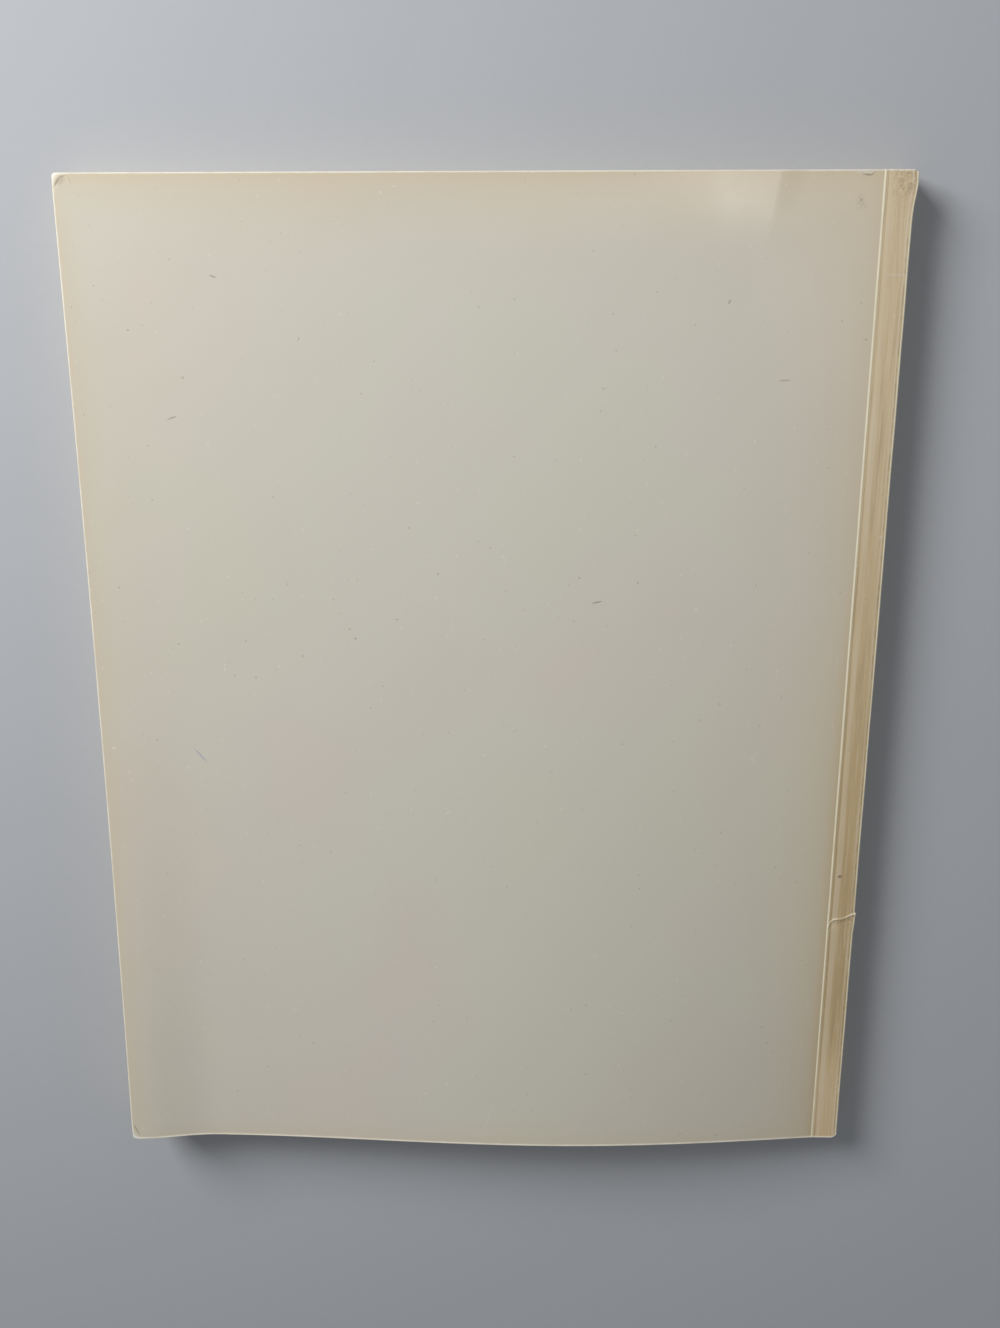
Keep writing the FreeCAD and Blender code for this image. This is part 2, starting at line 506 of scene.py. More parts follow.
bm = bmesh.new()
glue_stations = graded(0.0, glue_length, 0.0004, 0.0004, 0.0004)
upper, lower, rim = backed_sheet(bm, glue_stations, graded(tail_y, head_y, 0.0003, 0.0003, 0.0030))
lower = walled(bm, rim, lower, 0)
for vertex in upper:
    vertex.co = glue_point(vertex.co.x, vertex.co.y, False)
for vertex in lower:
    vertex.co = glue_point(vertex.co.x, vertex.co.y, True)
for face in bm.faces:
    face.material_index = 0
glue = finished_piece("spine_glue_bead", bm, [binding_glue])
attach(glue, "text_block")
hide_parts("spine_glue")


# The spine of the cover: semi-gloss cream card, folded round the glued backs of the leaves. Its hinge
# strips are stained tan by the glue. The back strip is wrinkled low down and crumpled at the head.
card_cream = (0.700, 0.668, 0.575)
card_green_cast = (0.694, 0.677, 0.563)
card_pink_cast = (0.715, 0.655, 0.570)
card_toned = (0.70, 0.58, 0.40)
strip_tan_head = (0.745, 0.590, 0.370)
strip_tan_low = (0.600, 0.443, 0.230)
# The strip's tan near the tail end, painted lighter as painted light.
strip_tan_tail_painted_light = (0.765, 0.575, 0.335)
strip_streak = (0.45, 0.34, 0.20)
# A pale tan for light streaks and flecks on the strip, and also for the painted highlight on the faint
# ridge.
strip_pale_and_highlight = (0.80, 0.675, 0.475)
worn_pale = (0.93, 0.87, 0.72)
# A pale for rubbed wear, and also for the painted highlights on the bead and the wrinkle.
wear_and_highlight_pale = (1.00, 0.92, 0.70)
crease_brown = (0.60, 0.455, 0.245)
# The paler colour painted near the head as painted light.
painted_head_light = (0.80, 0.745, 0.62)
bare_white = (0.86, 0.85, 0.80)
# A brown for soil and grime, and also for painted shade: in the groove, beside the spine's fold and in
# some of the marks.
soil_and_shade_brown = (0.20, 0.155, 0.095)
pen_blue = (0.30, 0.36, 0.58)
inner_cream = (0.74, 0.70, 0.59)
seam_distance = 0.00105
edge_wear_width = 0.00032
edge_round_depth = 0.00004
edge_round_reach = 0.00012
bead_distance = 0.00018
bead_height = 0.00007
bead_half_width = 0.00022
bead_evenness = 0.85
bead_unevenness = 0.5
groove_depth = 0.000012
groove_half_width = 0.00035
low_ridge_distance = 0.0020
low_ridge_height = 0.00002
low_ridge_half_width = 0.00060
wrinkle_y = -0.0653
wrinkle_rise = 0.0017
wrinkle_drop = 0.0045
wrinkle_drop_share = 0.07
wrinkle_height = 0.00020
wrinkle_half_width = 0.00032
wrinkle_start_reach = 0.0004
wrinkle_dip = 0.00012
wrinkle_dip_distance = 0.0014
wrinkle_dip_half_width = 0.0011
buckle_bulge = 0.00038
buckle_reach = 0.0050
buckle_start_reach = 0.0005
buckle_fullness = 1.2
buckle_depth = 0.0028
head_bulge = 0.00085
head_bulge_distance = 0.0028
head_bulge_half_width = 0.0050
bulge_start_distance = 0.003
bulge_start_reach = 0.004
spine_ripple = 0.00006
burr_height = 0.00006
burr_reach = 0.00045
crumple_reach = 0.0110
crumple_height = 0.00009
crumple_start_distance = 0.0012
crumple_start_reach = 0.0025
seam_x = hinge_x + seam_distance
strip_width = spine_x - hinge_x


def hump(distance, half_width):
    """A smooth hump of height 1, from its middle out."""
    return math.exp(-(distance / half_width) ** 2)


def card_relief(x, y):
    """The fine relief of the back: its bead, groove, ridge, tail burr, wrinkle and crumpled head."""
    from_hinge = x - hinge_x
    wobble = noise.noise(Vector((0, y * 90, 0.5)))
    bead = bead_height * (bead_evenness + bead_unevenness * wobble)
    relief = bead * hump(from_hinge - bead_distance, bead_half_width)
    relief -= groove_depth * hump(from_hinge - seam_distance, groove_half_width)
    relief += low_ridge_height * hump(from_hinge - low_ridge_distance, low_ridge_half_width)
    relief += burr_height * hump(y - tail_y, burr_reach)
    if from_hinge > 0:
        share = from_hinge / strip_width
        climb = min(1.0, max(0.0, 2 * share - 0.9))
        above = y - wrinkle_y - wrinkle_rise * climb ** 2 * (3 - 2 * climb)
        above += wrinkle_drop * math.exp(-share / wrinkle_drop_share)
        start = min(1.0, from_hinge / wrinkle_start_reach)
        height = wrinkle_height * (0.8 + 0.4 * noise.noise(Vector((x * 500, 0, 2))))
        relief += start * height * hump(above, wrinkle_half_width)
        dip = wrinkle_dip * hump(above + wrinkle_dip_distance, wrinkle_dip_half_width)
        relief -= start * dip * min(1.0, 4 * share * (1.2 - share))
        from_head = head_y - y
        near_head = max(0.0, 1 - from_head / crumple_reach) ** 1.5
        ridges = 1 - 2 * abs(noise.noise(Vector((x * 600, y * 420, 7.7))))
        folds = 1 - 2 * abs(noise.noise(Vector((x * 1300, y * 900, 1.2))))
        inside_strip = min(1.0, max(0.0, (from_hinge - crumple_start_distance) / crumple_start_reach))
        relief += crumple_height * near_head * inside_strip * (ridges + 0.5 * folds - 0.4)
    return relief


def edge_rounding(x, y):
    """How far the card's faces are worn back towards each other near a trimmed edge."""
    nearest = min(x - fore_x, head_y - y, y - tail_y)
    return edge_round_depth * max(0.0, 1 - nearest / edge_round_reach) ** 2


def spine_bulge(x, y, z):
    """How far the back edge of the spine stands out where the card has buckled."""
    below_wrinkle = wrinkle_y + wrinkle_rise - y
    if below_wrinkle > 0:
        at_wrinkle = buckle_fullness - below_wrinkle / buckle_reach
    else:
        at_wrinkle = 1 + below_wrinkle / buckle_start_reach
    at_head = hump(y - (head_y - head_bulge_distance), head_bulge_half_width)
    ripple = spine_ripple * noise.noise(Vector((y * 55, z * 90, 3.3)))
    near_back = math.exp(-(book_top - z) / buckle_depth)
    near_spine = min(1.0, max(0.0, (x - hinge_x - bulge_start_distance) / bulge_start_reach)) ** 2
    buckle = buckle_bulge * min(1.0, max(0.0, at_wrinkle)) + head_bulge * at_head
    return (ripple + buckle * near_back) * near_spine


def joined(*runs):
    """Several runs of places in one, without the places that they share."""
    places = list(runs[0])
    for run in runs[1:]:
        places.extend(run[1:])
    return places


def mark(tree, place, x, y, half_length, half_width, turn, softness):
    """The share of a small oval mark on the cover: 1 inside it and 0 outside."""
    mapping = tree.nodes.new("ShaderNodeMapping")
    mapping.vector_type = "TEXTURE"
    mapping.inputs["Location"].default_value = (x, y, 0)
    mapping.inputs["Rotation"].default_value = (0, 0, math.radians(turn))
    mapping.inputs["Scale"].default_value = (half_length, half_width, 1)
    tree.links.new(place, mapping.inputs["Vector"])
    size = tree.nodes.new("ShaderNodeVectorMath")
    size.operation = "LENGTH"
    tree.links.new(mapping.outputs[0], size.inputs[0])
    return eased(tree, size.outputs["Value"], 1 - softness, 1 + softness, 1.0, 0.0)


def marked(tree, place, oval):
    """The share of an oval mark whose last number is its strength."""
    return reckon(tree, "MULTIPLY", mark(tree, place, *oval[:-1]), oval[-1])


def line_share(tree, value, middle, half_width, softness=0.5):
    """The share of a straight line, from a coordinate's distance from its middle."""
    distance = reckon(tree, "ABSOLUTE", reckon(tree, "SUBTRACT", value, middle))
    return eased(tree, distance, half_width * (1 - softness), half_width * (1 + softness), 1.0, 0.0)


def times(tree, *shares):
    """The product of several shares."""
    product = shares[0]
    for share in shares[1:]:
        product = reckon(tree, "MULTIPLY", product, share)
    return product


def card_place(tree):
    """The place of a point of the card in the closed book, which it keeps when a cover opens."""
    attribute = tree.nodes.new("ShaderNodeAttribute")
    attribute.attribute_name = "card_place"
    return attribute.outputs["Vector"]


aged_card, tree, shader = new_finish("aged_card", 0.42, 0.45)
place = card_place(tree)
across, along, up = axes_of(tree, place)
wander = blotches(tree, place, 22, detail=2)
fine_wander = blotches(tree, place, 700, detail=2)
from_hinge = reckon(tree, "SUBTRACT", across, hinge_x)
from_fore = reckon(tree, "SUBTRACT", across, fore_x)
from_head = reckon(tree, "SUBTRACT", head_y, along)
from_tail = reckon(tree, "SUBTRACT", along, tail_y)
on_back = eased(tree, up, 0.4 * book_top, 0.6 * book_top)

# The panel's colour: cream with faint casts, painted paler near the head as painted light, and yellowed
# from its edges in.
casts = blotches(tree, place, 14, detail=2)
colour = tinted(tree, eased(tree, casts, 0.50, 0.72), card_cream, card_green_cast)
colour = tinted(tree, eased(tree, casts, 0.50, 0.28), colour, card_pink_cast)
# Painted light: the card is painted paler near the head, strongest close to its edge and reaching
# further down towards the spine.
painted_light_share = greatest(
    tree,
    times(tree, eased(tree, from_head, 0.0210, 0.0020), eased(tree, across, -0.030, 0.060, 0.0, 0.85)),
    times(tree, eased(tree, from_head, 0.0700, 0.0200), eased(tree, across, 0.060, 0.095, 0.0, 0.40)))
colour = tinted(tree, painted_light_share, colour, painted_head_light)
toned = greatest(
    tree,
    toning(tree, from_fore, 0.0055, wander, 0.62),
    toning(tree, from_fore, 0.0300, wander, 0.24),
    toning(tree, from_head, 0.0080, wander, 0.80),
    toning(tree, from_tail, 0.0050, wander, 0.45))
colour = tinted(tree, toned, colour, card_toned)
past_score = reckon(tree, "ABSOLUTE", from_hinge)
lower_down = eased(tree, along, 0.10, -0.06)
stained = reckon(tree, "MULTIPLY", toning(tree, past_score, 0.0095, wander),
                 eased(tree, lower_down, 0.0, 1.0, 0.45, 0.62))
stained = reckon(tree, "ADD", stained, toning(tree, past_score, 0.0400, wander, 0.20))
colour = tinted(tree, reckon(tree, "MINIMUM", stained, 1.0), colour, card_toned)
beside_score = reckon(tree, "MULTIPLY", toning(tree, past_score, 0.0016, wander),
                      eased(tree, lower_down, 0.0, 1.0, 0.10, 0.58))
colour = tinted(tree, beside_score, colour, crease_brown)

# The glue-stained strip beyond the score, darker towards the tail but painted lighter again near the
# tail end as painted light, with streaks along it.
in_strip = eased(tree, from_hinge, 0.0, 0.0007)
tan = tinted(tree, eased(tree, along, -0.080, 0.140), strip_tan_low, strip_tan_head)
# Painted light: the last few centimetres of the strip at the tail are painted lighter, against the
# light's falloff there.
tan = tinted(tree, eased(tree, from_tail, 0.040, 0.018), tan, strip_tan_tail_painted_light)
for scale, strength in ((620, 0.26), (1500, 0.38)):
    streaks = blotches(tree, place, scale, stretch=(1, 0.03, 1), detail=3, roughness=0.7)
    tan = tinted(tree, eased(tree, streaks, 0.50, 0.68, 0.0, strength), tan, strip_streak)
    tan = tinted(tree, eased(tree, streaks, 0.50, 0.32, 0.0, strength), tan, strip_pale_and_highlight)
flecks = eased(tree, blotches(tree, place, 1300, stretch=(1, 0.4, 1), detail=2), 0.60, 0.78, 0.0, 0.35)
tan = tinted(tree, flecks, tan, strip_pale_and_highlight)
colour = tinted(tree, in_strip, colour, tan)

# The score: a bead worn pale with a painted highlight on its lit side, dirt and painted shade in the
# groove beside it, and a faint ridge with a painted highlight.
broken = eased(tree, blotches(tree, place, 160, detail=4), 0.25, 0.60, 0.75, 1.0)
# The bead's pale line sits a little towards its lit side: partly wear, partly a painted highlight.
bead_crest = bead_distance - 0.00003
bead_wear_and_highlight = times(tree, line_share(tree, from_hinge, bead_crest, 0.00024, 0.35), broken)
# Dirt and painted shade in the groove beside the bead, darker towards the tail.
groove_dirt_and_shade = times(tree, line_share(tree, from_hinge, 0.00110, 0.00030, 0.9),
                    eased(tree, along, 0.10, -0.05, 0.05, 0.22))
# A painted highlight along the faint ridge.
low_ridge_highlight = times(tree, line_share(tree, from_hinge, low_ridge_distance, 0.00075, 0.5),
                   eased(tree, wander, 0.35, 0.65, 0.30, 0.65))
colour = tinted(tree, groove_dirt_and_shade, colour, soil_and_shade_brown)
colour = tinted(tree, low_ridge_highlight, colour, strip_pale_and_highlight)
colour = tinted(tree, bead_wear_and_highlight, colour, wear_and_highlight_pale)

# The spine's folds, rubbed pale, with a fainter pair of lines beside the back one.
near_face = reckon(tree, "MINIMUM", up, reckon(tree, "SUBTRACT", book_top, up))
fold_wear = times(tree, eased(tree, across, spine_x - 0.00062, spine_x - 0.00042),
                  eased(tree, near_face, 0.0009, 0.0003), broken)
fold_shade = line_share(tree, across, spine_x - 0.00085, 0.00018, 0.8)
fold_line = times(tree, line_share(tree, across, spine_x - 0.00130, 0.00022, 0.8), broken)
dashes = eased(tree, blotches(tree, place, 900, stretch=(1, 0.35, 1)), 0.46, 0.60, 0.08, 0.38)
colour = tinted(tree, reckon(tree, "MULTIPLY", fold_shade, dashes), colour, soil_and_shade_brown)
colour = tinted(tree, reckon(tree, "MULTIPLY", fold_line, 0.22), colour, worn_pale)
colour = tinted(tree, fold_wear, colour, wear_and_highlight_pale)

# The trimmed edges, where handling has bared the white of the card, and most at the corners.
to_edge = reckon(tree, "MINIMUM", from_fore, reckon(tree, "MINIMUM", from_head, from_tail))
corner_near = reckon(tree, "MINIMUM", from_head, from_tail)
corner_share = eased(tree, reckon(tree, "MAXIMUM", corner_near, from_fore), 0.0060, 0.0010)
wear_width = reckon(tree, "MULTIPLY_ADD", corner_share, 0.0002, edge_wear_width)
wear_width = reckon(tree, "ADD", wear_width, eased(tree, from_tail, 0.0010, 0.0005, 0.0, 0.00022))
wear_width = reckon(tree, "MULTIPLY", wear_width, eased(tree, fine_wander, 0.25, 0.75, 0.85, 1.15))
edge_wear = times(tree, eased(tree, reckon(tree, "DIVIDE", to_edge, wear_width), 0.6, 1.4, 1.0, 0.0),
                  eased(tree, blotches(tree, place, 130, detail=4), 0.3, 0.6, 0.6, 1.0))
colour = tinted(tree, edge_wear, colour, worn_pale)

# Grime worked into the crumpled head of the strip.
grime_reach = times(tree, eased(tree, from_head, crumple_reach, 0.0020),
                    eased(tree, from_hinge, crumple_start_distance, 0.0045),
                    eased(tree, across, spine_x - 0.0006, spine_x - 0.0012), on_back)
for scale, strength in ((520, 0.30), (1700, 0.42)):
    grime = blotches(tree, place, scale, detail=4, roughness=0.65)
    grime = times(tree, grime_reach, eased(tree, grime, 0.46, 0.68, 0.0, strength))
    colour = tinted(tree, grime, colour, soil_and_shade_brown)

# A painted highlight along the ridge of the wrinkle, brighter towards the ends of the strip.
strip_share = reckon(tree, "DIVIDE", from_hinge, strip_width)
climb = eased(tree, strip_share, 0.45, 0.95, wrinkle_y, wrinkle_y + wrinkle_rise)
drop = reckon(tree, "EXPONENT", reckon(tree, "DIVIDE", strip_share, -wrinkle_drop_share))
ridge_y = reckon(tree, "MULTIPLY_ADD", drop, -wrinkle_drop, climb)
from_middle = reckon(tree, "ABSOLUTE", reckon(tree, "SUBTRACT", strip_share, 0.48))
wrinkle_highlight = times(tree, line_share(tree, along, ridge_y, 0.00024), in_strip,
                     eased(tree, up, book_top - 0.0030, book_top - 0.0005),
                     eased(tree, from_middle, 0.06, 0.22, 0.25, 0.85))
colour = tinted(tree, wrinkle_highlight, colour, wear_and_highlight_pale)

# Single marks on the back: soil and fibres, dirt and painted shadow at the bent head corner, painted
# shadows under the lifted flake and the wrinkle, painted shade beside the glossy patch, bared corners
# and a flake, scratches, and a stroke of a pen.
# Each is an oval: its place across and along the book, its half length and half width, its turn in
# degrees, the softness of its rim and its strength.
soil_and_shade_ovals = (
    # Dirt and painted shadow at the bent tip of the corner at the head and fore edge: the next three
    # ovals.
    (-0.1067, 0.1374, 0.0011, 0.00022, 58, 0.5, 0.60),
    (-0.1054, 0.1385, 0.0011, 0.00022, 22, 0.5, 0.50),
    (-0.1059, 0.1377, 0.0012, 0.00075, 40, 0.8, 0.32),
    (-0.1034, 0.1378, 0.0011, 0.00012, -72, 0.5, 0.22),
    (-0.1066, -0.1362, 0.0019, 0.00022, -64, 0.5, 0.45),
    # Painted shadow under the lower edge of the lifted flake at the head: the next three ovals.
    (0.0961, 0.1383, 0.0011, 0.00020, -6, 0.5, 0.60),
    (0.0974, 0.1386, 0.0007, 0.00016, 35, 0.5, 0.48),
    (0.0949, 0.1386, 0.0007, 0.00014, -30, 0.5, 0.30),
    # Painted shade beside the glossy patch near the head.
    (0.0775, 0.1360, 0.0060, 0.0024, 80, 0.7, 0.07),
    (0.1028, -0.0517, 0.00050, 0.00042, 0, 0.8, 0.85),
    # Painted shade under the ridge of the wrinkle: the next two ovals.
    (0.1047, -0.0668, 0.0020, 0.0012, 8, 0.4, 0.14),
    (0.1066, -0.0655, 0.0006, 0.00028, -20, 0.5, 0.35),
    (-0.0686, 0.1144, 0.0009, 0.00018, -20, 0.5, 0.55),
    (-0.0817, 0.0786, 0.0013, 0.00016, 20, 0.5, 0.55),
    (-0.0916, 0.1011, 0.0004, 0.00025, 0, 0.5, 0.30),
    (-0.0781, 0.0890, 0.0004, 0.00030, 40, 0.5, 0.30),
    (-0.0472, 0.0988, 0.0005, 0.00020, 60, 0.5, 0.30),
    (0.0313, 0.0293, 0.0013, 0.00017, 12, 0.5, 0.65),
    (-0.0498, 0.0135, 0.0004, 0.00020, 80, 0.5, 0.35),
    (0.0319, 0.0863, 0.0004, 0.00025, 0, 0.5, 0.25),
    (0.0635, 0.1080, 0.0006, 0.00022, 60, 0.5, 0.45),
    (0.0786, 0.0884, 0.0014, 0.00022, 4, 0.5, 0.35),
)
bare_ovals = (
    (-0.1075, 0.1390, 0.0008, 0.0006, 40, 0.8, 0.80),
    (-0.1074, -0.1389, 0.0014, 0.0010, -40, 0.5, 0.60),
    (0.0957, 0.1390, 0.0022, 0.00045, 2, 0.5, 0.35),
    (0.1084, 0.1389, 0.0008, 0.0004, -40, 0.5, 0.75),
    (0.1075, -0.1389, 0.0006, 0.0004, 35, 0.5, 0.50),
    (0.1068, 0.0474, 0.0015, 0.00012, -23, 0.5, 0.35),
    (0.1051, 0.1145, 0.0026, 0.00012, 1, 0.5, 0.40),
    (0.0013, -0.1303, 0.0035, 0.00014, 70, 0.5, 0.35),
)
soil_and_shade_marks = greatest(tree, *[marked(tree, place, oval) for oval in soil_and_shade_ovals])
scuff = times(tree, mark(tree, place, 0.0950, 0.1319, 0.0010, 0.0014, 10, 0.9),
              eased(tree, blotches(tree, place, 1400, detail=2), 0.48, 0.66, 0.05, 0.50))
soil_and_shade_marks = greatest(tree, soil_and_shade_marks, scuff)
bare_marks = greatest(tree, *[marked(tree, place, oval) for oval in bare_ovals])
pen_mark = marked(tree, place, (-0.0801, -0.0160, 0.0024, 0.00022, -50, 0.5, 0.55))
# Soil, and painted shade and shadows, laid on the back.
colour = tinted(tree, times(tree, soil_and_shade_marks, on_back), colour, soil_and_shade_brown)
colour = tinted(tree, times(tree, bare_marks, on_back), colour, bare_white)
colour = tinted(tree, times(tree, pen_mark, on_back), colour, pen_blue)
dust = eased(tree, blotches(tree, place, 1100, detail=0), 0.85, 0.88, 0.0, 0.35)
colour = tinted(tree, dust, colour, soil_and_shade_brown)
lint = eased(tree, blotches(tree, place, 900, stretch=(1, 0.6, 1), detail=1), 0.74, 0.80, 0.0, 0.40)
colour = tinted(tree, lint, colour, worn_pale)
tree.links.new(colour, shader.inputs["Base Color"])

# The gloss: a fine tooth all over, a burnished patch near the head, and matt where it is worn.
patch_edge = reckon(tree, "MULTIPLY_ADD", along, 0.17, reckon(tree, "MULTIPLY", across, -1.0))
patch_fade = reckon(tree, "MULTIPLY_ADD", along, 1.04, across)
burnished = times(tree, eased(tree, patch_edge, -0.0524, -0.0508), eased(tree, patch_fade, 0.172, 0.202),
                  eased(tree, from_head, 0.024, 0.006), on_back)
gloss = eased(tree, blotches(tree, place, 60), 0.25, 0.75, 0.42, 0.48)
gloss = reckon(tree, "SUBTRACT", gloss, reckon(tree, "MULTIPLY", burnished, 0.17))
worn_share = greatest(tree, edge_wear, bead_wear_and_highlight, fold_wear, times(tree, bare_marks, on_back))
gloss = reckon(tree, "ADD", gloss, reckon(tree, "MULTIPLY", worn_share, 0.25))
tree.links.new(gloss, shader.inputs["Roughness"])
tooth = reckon(tree, "ADD", blotches(tree, place, 1600, detail=3),
               reckon(tree, "MULTIPLY", blotches(tree, place, 240, detail=3), 2.0))
relieved(tree, shader, tooth, 0.000012)

card_inside, tree, shader = new_finish("card_inside", 0.78, 0.25)
place = card_place(tree)
across, along = axes_of(tree, place)[:2]
past_score = reckon(tree, "ABSOLUTE", reckon(tree, "SUBTRACT", across, hinge_x))
wander = blotches(tree, place, 25, detail=2)
toned = greatest(
    tree,
    toning(tree, reckon(tree, "SUBTRACT", across, fore_x), 0.012, wander, 0.75),
    toning(tree, reckon(tree, "SUBTRACT", head_y, along), 0.012, wander, 0.75),
    toning(tree, reckon(tree, "SUBTRACT", along, tail_y), 0.010, wander, 0.65),
    toning(tree, past_score, 0.009, wander, 0.8))
colour = tinted(tree, toned, inner_cream, card_toned)
colour = tinted(tree, eased(tree, blotches(tree, place, 70), 0.4, 0.8, 0.0, 0.2), colour, card_toned)
tree.links.new(colour, shader.inputs["Base Color"])
relieved(tree, shader, blotches(tree, place, 1100, detail=4), 0.00002)

cut_edge, tree, shader = new_finish("card_cut_edge", 0.85, 0.2)
place = card_place(tree)
frayed = eased(tree, blotches(tree, place, 800, detail=3), 0.35, 0.7, 0.0, 0.6)
tree.links.new(tinted(tree, frayed, worn_pale, card_toned), shader.inputs["Base Color"])
relieved(tree, shader, blotches(tree, place, 2500, detail=3), 0.00003)

# The mesh is finest at the trimmed edges, the score, the wrinkle, the crumpled head and the folds.
fine_step = 0.00007
fold_step = 0.00009
detail_step = 0.00012
wide_step = 0.0026
wrinkle_tail_y = wrinkle_y - 0.0052
wrinkle_low_y = wrinkle_y - 0.0012
wrinkle_high_y = wrinkle_y + 0.0040
card_rows = joined(
    graded(tail_y, wrinkle_tail_y, fine_step, 0.00035, wide_step),
    graded(wrinkle_tail_y, wrinkle_low_y, 0.00035, detail_step, 0.00035),
    graded(wrinkle_low_y, wrinkle_high_y, detail_step, detail_step, detail_step),
    graded(wrinkle_high_y, head_y - crumple_reach, detail_step, 0.00035, wide_step),
    graded(head_y - crumple_reach, head_y, 0.00025, fine_step, 0.00025))
strip_length = fold_x - seam_x
spine_card_length = 2 * (strip_length + fold_length) + spine_face_length
back_fold_end = strip_length + fold_length
front_fold_start = spine_card_length - strip_length - fold_length
front_fold_end = spine_card_length - strip_length
spine_card_stations = joined(
    graded(0.0, 0.0012, detail_step, detail_step, detail_step),
    graded(0.0012, strip_length, detail_step, 0.00010, 0.00024),
    graded(strip_length, back_fold_end, fold_step, fold_step, fold_step),
    graded(back_fold_end, back_fold_end + spine_face_length, 0.00016, 0.00016, 0.0007),
    graded(front_fold_start, front_fold_end, fold_step, fold_step, fold_step),
    graded(front_fold_end, spine_card_length, 0.0002, detail_step, 0.0006))


def spine_card_point(distance, y, inside):
    """A point of the spine card's outer face, or of its inner face."""
    x, z, out_x, out_z = along_cover(distance, strip_length)
    worn = edge_rounding(spine_x, y)
    moved_y = y + knocked_in(x, y, z)
    if inside:
        reach = card_thickness - worn
    elif z > book_top / 2:
        reach = worn - card_relief(x, y)
    else:
        score = groove_depth * hump(x - hinge_x - seam_distance, groove_half_width)
        reach = worn + score
    return Vector((x - out_x * reach, moved_y, z - out_z * reach))


def card_panel(columns, rows, point, outer_on_top=True):
    """A panel of card: a mesh that also stores where each of its vertices lies in the closed book."""
    bm = bmesh.new()
    rest_layer = bm.verts.layers.float_vector.new("card_place")
    upper, lower, rim = backed_sheet(bm, columns, rows)
    lower = walled(bm, rim, lower, 2)
    for vertices, inside in ((upper, not outer_on_top), (lower, outer_on_top)):
        for vertex in vertices:
            vertex.co = point(vertex.co.x, vertex.co.y, inside)
            vertex[rest_layer] = vertex.co
    return bm


bm = card_panel(spine_card_stations, card_rows, spine_card_point)
# The card buckles last, so that its marks and wear stay where they lie on the straight card.
for vertex in bm.verts:
    vertex.co.x += spine_bulge(*vertex.co)
spine_card = finished_piece("spine_card", bm, [aged_card, card_inside, cut_edge])
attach(spine_card, "text_block")
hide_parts("cover_spine")


# The front cover: the flat panel of the same card that the book lies on. It is trimmed flush with the
# leaves and turns at a score pressed into its outer face, which the spine card carries on.
head_corner_radius = 0.0009
tail_corner_radius = 0.0007
front_score_depth = 0.00010
panel_stations = joined(
    graded(fore_x, hinge_x - 0.0012, fine_step, 0.00015, wide_step),
    graded(hinge_x - 0.0012, seam_x, 0.00015, 0.00010, 0.00015))


def front_card_point(x, y, inside):
    """A point of the front cover's outer face, or of its inner face."""
    worn = edge_rounding(x, y)
    score = front_score_depth * hump(x - hinge_x - bead_distance, bead_half_width)
    score += groove_depth * hump(x - hinge_x - seam_distance, groove_half_width)
    x, y = rounded(x, y, head_corner_radius, tail_corner_radius)
    if inside:
        return Vector((x, y, card_thickness - worn))
    return Vector((x, y, worn + score))


bm = card_panel(panel_stations, graded(tail_y, head_y, fine_step, fine_step, wide_step),
                front_card_point, outer_on_top=False)
front_card = finished_piece("front_cover_card", bm, [card_inside, aged_card, cut_edge])
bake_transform(front_card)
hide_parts("front_cover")


# The back cover: the same card, which damp has cockled and curled up along the tail. It turns at a score
# that stands up as a bead, and its corners at the fore edge are bent.
cockle_height = 0.00010
cockle_start_reach = 0.030
corner_bend_reach = 0.0032
corner_bend_depth = 0.00035
corner_crease_depth = 0.00004
corner_crease_half_width = 0.0005


def corner_bend(x, y):
    """How far the card is bent down past the crease across each corner at the fore edge."""
    past_head = corner_bend_reach - (x - fore_x) - 0.75 * (head_y - y)
    past_tail = 1.3 * corner_bend_reach - 1.6 * (x - fore_x) - 0.8 * (y - tail_y)
    past = max(past_head, past_tail) / corner_bend_reach
    crease = corner_crease_depth * hump(max(past_head, past_tail), corner_crease_half_width)
    return -crease - corner_bend_depth * max(0.0, past) ** 1.5


def back_card_point(x, y, inside):
    """A point of the back cover's outer face, or of its inner face."""
    worn = edge_rounding(x, y)
    relief = card_relief(x, y)
    settled = min(1.0, max(0.0, hinge_x - x) / cockle_start_reach)
    cockle = cockle_height * settled * noise.noise(Vector((x * 19, y * 15, 3.1)))
    x, y = rounded(x, y, head_corner_radius, tail_corner_radius)
    middle = book_top + curl_lift(x, y) + cockle + corner_bend(x, y)
    if inside:
        return Vector((x, y, middle - card_thickness + worn))
    return Vector((x, y, middle + relief - worn))


bm = card_panel(panel_stations, card_rows, back_card_point)
back_card = finished_piece("back_cover_card", bm, [aged_card, card_inside, cut_edge])
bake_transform(back_card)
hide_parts("back_cover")


# The floor: a plain pale grey sheet, far enough below the book for its front cover to turn back flat.
floor_grey = (0.50, 0.515, 0.54)
floor_grain_grey = (0.42, 0.43, 0.45)
floor_drop = 0.00035
floor_half_size = 8.0

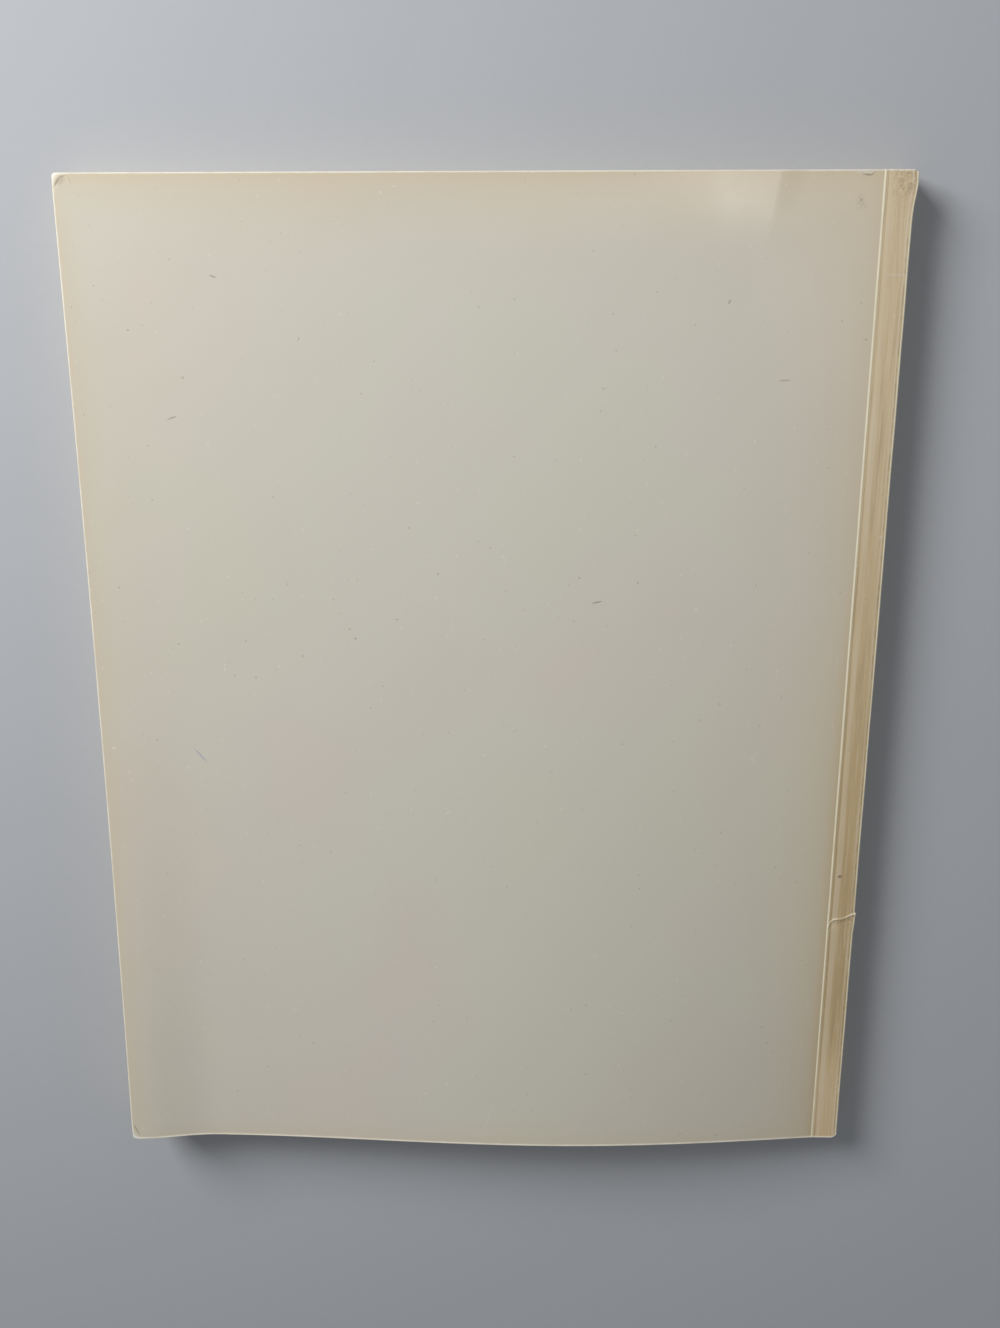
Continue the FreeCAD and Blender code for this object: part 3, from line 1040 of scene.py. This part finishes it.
floor_finish, tree, shader = new_finish("studio_floor", 0.75, 0.3)
place = tree.nodes.new("ShaderNodeTexCoord").outputs["Object"]
grain = eased(tree, blotches(tree, place, 400, detail=3), 0.3, 0.7, 0.0, 0.06)
tree.links.new(tinted(tree, grain, floor_grey, floor_grain_grey), shader.inputs["Base Color"])
bm = bmesh.new()
bmesh.ops.create_grid(bm, x_segments=1, y_segments=1, size=floor_half_size)
floor_mesh = bpy.data.meshes.new("floor")
bm.to_mesh(floor_mesh)
bm.free()
floor_mesh.materials.append(floor_finish)
floor = bpy.data.objects.new("floor", floor_mesh)
floor.location.z = -floor_drop
bpy.context.scene.collection.objects.link(floor)


# The studio: a large soft light beyond the head and the fore edge, a small one whose reflection lies
# near the head of the cover, and an even, dim surround.
def soft_light(name, location, target, width, height, watts):
    """A rectangular area light that faces a target."""
    lamp = bpy.data.lights.new(name, "AREA")
    lamp.shape = "RECTANGLE"
    lamp.size = width
    lamp.size_y = height
    lamp.energy = watts
    light = bpy.data.objects.new(name, lamp)
    light.location = location
    light.rotation_euler = (Vector(target) - Vector(location)).to_track_quat("-Z", "Y").to_euler()
    bpy.context.scene.collection.objects.link(light)


soft_light("window_light", (-0.50, 0.50, 0.45), (0, 0, 0), 0.4, 0.4, 6.4)
soft_light("sheen_light", (0.210, 0.200, 1.0), (0.210, 0.200, 0), 0.22, 0.16, 0.9)
world = bpy.data.worlds.new("studio")
world.use_nodes = True
surround = world.node_tree.nodes["Background"]
surround.inputs["Color"].default_value = (0.90, 0.94, 1.0, 1.0)
surround.inputs["Strength"].default_value = 0.16
bpy.context.scene.world = world
bpy.context.scene.view_settings.view_transform = "Standard"


# The camera: near the head and looking down a little towards the tail, as the photograph was taken.
camera_data = bpy.data.cameras.new("camera")
camera_data.lens = 35.281
camera_data.clip_start = 0.01
camera = bpy.data.objects.new("camera", camera_data)
camera.location = (0.01535, 0.11321, book_top + 0.34541)
camera.rotation_euler = [math.radians(angle) for angle in (-16.4072, 1.7109, -0.0831)]
bpy.context.scene.collection.objects.link(camera)
bpy.context.scene.camera = camera
